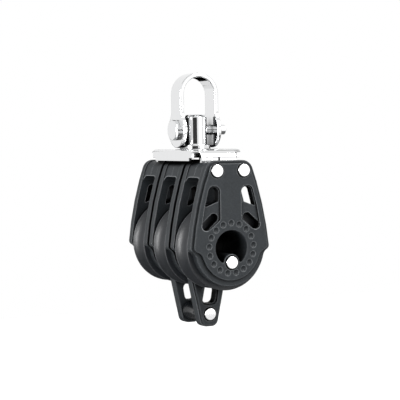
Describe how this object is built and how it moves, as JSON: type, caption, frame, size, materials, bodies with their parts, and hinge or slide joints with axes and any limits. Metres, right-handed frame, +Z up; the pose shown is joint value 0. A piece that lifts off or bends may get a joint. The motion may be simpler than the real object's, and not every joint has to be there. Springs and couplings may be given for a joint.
{
  "type": "triple swivel block",
  "caption": "Marine pulley block with sheaves side by side on ball races, a swivelling shackle head above and a becket below.",
  "frame": {"origin": "middle of the shackle bow's inner crown, where the block hangs", "axes": "+Z up along the swivel axis, +Y along the sheave axis, +X across the cheeks towards the clevis pin's free end"},
  "size_m": [0.0296, 0.0532, 0.0874],
  "materials": {
    "moulded_nylon": "glass-filled nylon, fine satin texture",
    "sheave_acetal": "smooth black acetal, semi-gloss",
    "spool_acetal": "smooth black acetal, glossy",
    "ball_acetal": "white acetal balls",
    "polished_stainless": "electropolished stainless steel",
    "rivet_stainless": "bright stainless rivet heads"
  },
  "bodies": {
    "shackle": {"shackle_bow": "polished_stainless", "clevis_pin": "polished_stainless"},
    "swivel": {"swivel_post": "polished_stainless", "swivel_washer": "polished_stainless"},
    "block": {"head_bracket": "polished_stainless", "near_outer_cheek": "moulded_nylon", "near_inner_cheek": "moulded_nylon", "middle_near_cheek": "moulded_nylon", "middle_far_cheek": "moulded_nylon", "far_inner_cheek": "moulded_nylon", "far_outer_cheek": "moulded_nylon", "upper_left_rivet": "rivet_stainless", "upper_right_rivet": "rivet_stainless", "lower_rivet": "rivet_stainless", "becket_near_arm": "moulded_nylon", "becket_far_arm": "moulded_nylon", "becket_spool": "spool_acetal", "becket_rivet": "rivet_stainless"},
    "near_wheel": {"near_sheave": "sheave_acetal"},
    "near_bearing": {"near_balls": "ball_acetal"},
    "middle_wheel": {"middle_sheave": "sheave_acetal"},
    "middle_bearing": {"middle_balls": "ball_acetal"},
    "far_wheel": {"far_sheave": "sheave_acetal"},
    "far_bearing": {"far_balls": "ball_acetal"}
  },
  "joints": [
    {"name": "shackle_swing", "type": "hinge", "parent": "shackle", "child": "swivel", "pos_m": [0, 0, -0.0182], "axis": [1, 0, 0], "range_deg": [-90, 90]},
    {"name": "head_swivel", "type": "hinge", "parent": "swivel", "child": "block", "pos_m": [0, 0, -0.0248], "axis": [0, 0, 1], "continuous": true},
    {"name": "near_sheave_spin", "type": "hinge", "parent": "block", "child": "near_wheel", "pos_m": [0, -0.0174, -0.0578], "axis": [0, 1, 0], "continuous": true},
    {"name": "near_balls_roll", "type": "hinge", "parent": "block", "child": "near_bearing", "pos_m": [0, -0.0174, -0.0578], "axis": [0, 1, 0], "continuous": true},
    {"name": "middle_sheave_spin", "type": "hinge", "parent": "block", "child": "middle_wheel", "pos_m": [0, 0, -0.0578], "axis": [0, 1, 0], "continuous": true},
    {"name": "middle_balls_roll", "type": "hinge", "parent": "block", "child": "middle_bearing", "pos_m": [0, 0, -0.0578], "axis": [0, 1, 0], "continuous": true},
    {"name": "far_sheave_spin", "type": "hinge", "parent": "block", "child": "far_wheel", "pos_m": [0, 0.0174, -0.0578], "axis": [0, 1, 0], "continuous": true},
    {"name": "far_balls_roll", "type": "hinge", "parent": "block", "child": "far_bearing", "pos_m": [0, 0.0174, -0.0578], "axis": [0, 1, 0], "continuous": true}
  ],
  "couplings": [
    {"joint": "near_balls_roll", "follows": "near_sheave_spin", "ratio": 0.58971},
    {"joint": "middle_balls_roll", "follows": "middle_sheave_spin", "ratio": 0.58971},
    {"joint": "far_balls_roll", "follows": "far_sheave_spin", "ratio": 0.58971}
  ]
}
